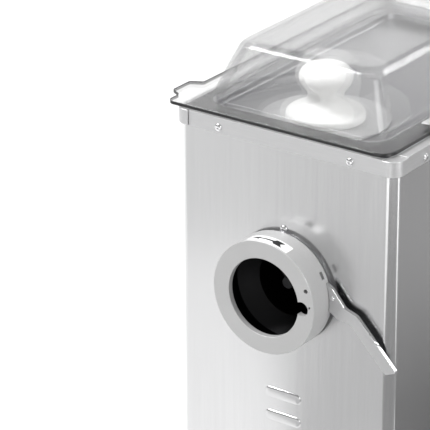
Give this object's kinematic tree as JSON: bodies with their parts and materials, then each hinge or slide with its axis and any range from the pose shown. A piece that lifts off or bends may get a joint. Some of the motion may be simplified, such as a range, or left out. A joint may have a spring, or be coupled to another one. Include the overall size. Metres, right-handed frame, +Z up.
{
  "type": "electric meat grinder",
  "caption": "Counter-top cabinet meat grinder: steel cabinet, front grinding head with lever ring nut, meat tray and pusher under a clear hinged dome.",
  "frame": {"origin": "middle of the whole object's box, on the surface the rubber feet stand on", "axes": "+X to the right seen from the front, -Y out of the front panel, +Z up"},
  "size_m": [0.3676, 0.54, 0.58],
  "materials": {
    "brushed_panel": "brushed stainless sheet, fine vertical grain",
    "trim_steel": "satin stainless with bright edges",
    "polished_steel": "polished stainless",
    "cast_steel": "matt bead-blasted stainless",
    "dark_steel": "dark laminated and painted steel",
    "brass": "machined brass",
    "copper": "drawn copper pipe",
    "white_plastic": "smooth food-grade white plastic",
    "black_plastic": "black moulded plastic",
    "green_plastic": "green button cap",
    "red_plastic": "red button cap",
    "rubber": "black rubber",
    "smoked_acrylic": "clear, lightly smoked acrylic",
    "black_paint": "black enamel"
  },
  "bodies": {
    "cabinet": {"cabinet_shell": "brushed_panel", "back_panel": "brushed_panel", "base_plate": "brushed_panel", "meat_tray": "brushed_panel", "trim_front": "trim_steel", "trim_back": "trim_steel", "trim_left": "trim_steel", "trim_right": "trim_steel", "corner_cap_front_left": "trim_steel", "corner_cap_front_right": "trim_steel", "corner_cap_back_left": "trim_steel", "corner_cap_back_right": "trim_steel", "feed_throat": "trim_steel", "trim_screw_front_left": "polished_steel", "trim_screw_front_right": "polished_steel", "trim_screw_back_left": "polished_steel", "trim_screw_back_right": "polished_steel", "trim_screw_left_front": "polished_steel", "trim_screw_left_back": "polished_steel", "trim_screw_right_front": "polished_steel", "trim_screw_right_back": "polished_steel", "neck_screw": "polished_steel", "hinge_leaf": "polished_steel", "hinge_pin": "polished_steel", "shaft_bearing": "polished_steel", "start_spring": "polished_steel", "stop_spring": "polished_steel", "head_barrel": "cast_steel", "top_frame": "cast_steel", "gearbox_case": "cast_steel", "gearbox_cover": "cast_steel", "condenser": "dark_steel", "cooling_coil": "copper", "switch_plate": "black_plastic", "switch_block": "black_plastic", "cable_gland": "black_plastic", "foot_front_left": "rubber", "foot_front_right": "rubber", "foot_back_left": "rubber", "foot_back_right": "rubber", "shaft_seal": "rubber", "motor_case": "black_paint", "motor_cradle": "black_paint", "compressor": "black_paint", "fan_motor": "black_paint"},
    "ring": {"ring_nut": "cast_steel", "lever": "trim_steel", "lever_rivet": "polished_steel"},
    "lid": {"lid": "smoked_acrylic", "lid_leaf": "polished_steel"},
    "pusher": {"pusher": "white_plastic"},
    "worm_drive": {"worm": "cast_steel", "worm_stud": "polished_steel", "drive_shaft": "polished_steel", "output_gear": "brass"},
    "motor": {"motor_rotor": "dark_steel", "motor_pinion": "polished_steel"},
    "fan": {"fan": "black_plastic"},
    "start": {"start_button": "green_plastic"},
    "stop": {"stop_button": "red_plastic"}
  },
  "joints": [
    {"name": "ring_turn", "type": "hinge", "parent": "cabinet", "child": "ring", "pos_m": [0.01022, -0.245, 0.2965], "axis": [0, -1, 0], "range_deg": [0, 60]},
    {"name": "lid_open", "type": "hinge", "parent": "cabinet", "child": "lid", "pos_m": [0.16522, 0.015, 0.5064], "axis": [0, 1, 0], "range_deg": [0, 95]},
    {"name": "pusher_lift", "type": "slide", "parent": "cabinet", "child": "pusher", "axis": [0, 0, 1], "range_m": [0, 0.004]},
    {"name": "worm_spin", "type": "hinge", "parent": "cabinet", "child": "worm_drive", "pos_m": [0.01022, -0.125, 0.2965], "axis": [0, -1, 0], "continuous": true},
    {"name": "motor_spin", "type": "hinge", "parent": "cabinet", "child": "motor", "pos_m": [0.01022, 0.075, 0.23125], "axis": [0, -1, 0], "continuous": true},
    {"name": "fan_spin", "type": "hinge", "parent": "cabinet", "child": "fan", "pos_m": [0.01022, 0.19, 0.106], "axis": [0, -1, 0], "continuous": true},
    {"name": "start_press", "type": "slide", "parent": "cabinet", "child": "start", "axis": [-1, 0, 0], "range_m": [0, 0.003], "stiffness_N_per_m": 800, "springref_m": -0.002, "deforming": ["start_spring"]},
    {"name": "stop_press", "type": "slide", "parent": "cabinet", "child": "stop", "axis": [-1, 0, 0], "range_m": [0, 0.003], "stiffness_N_per_m": 800, "springref_m": -0.002, "deforming": ["stop_spring"]}
  ],
  "couplings": [
    {"joint": "motor_spin", "follows": "worm_spin", "ratio": -2.2222}
  ]
}
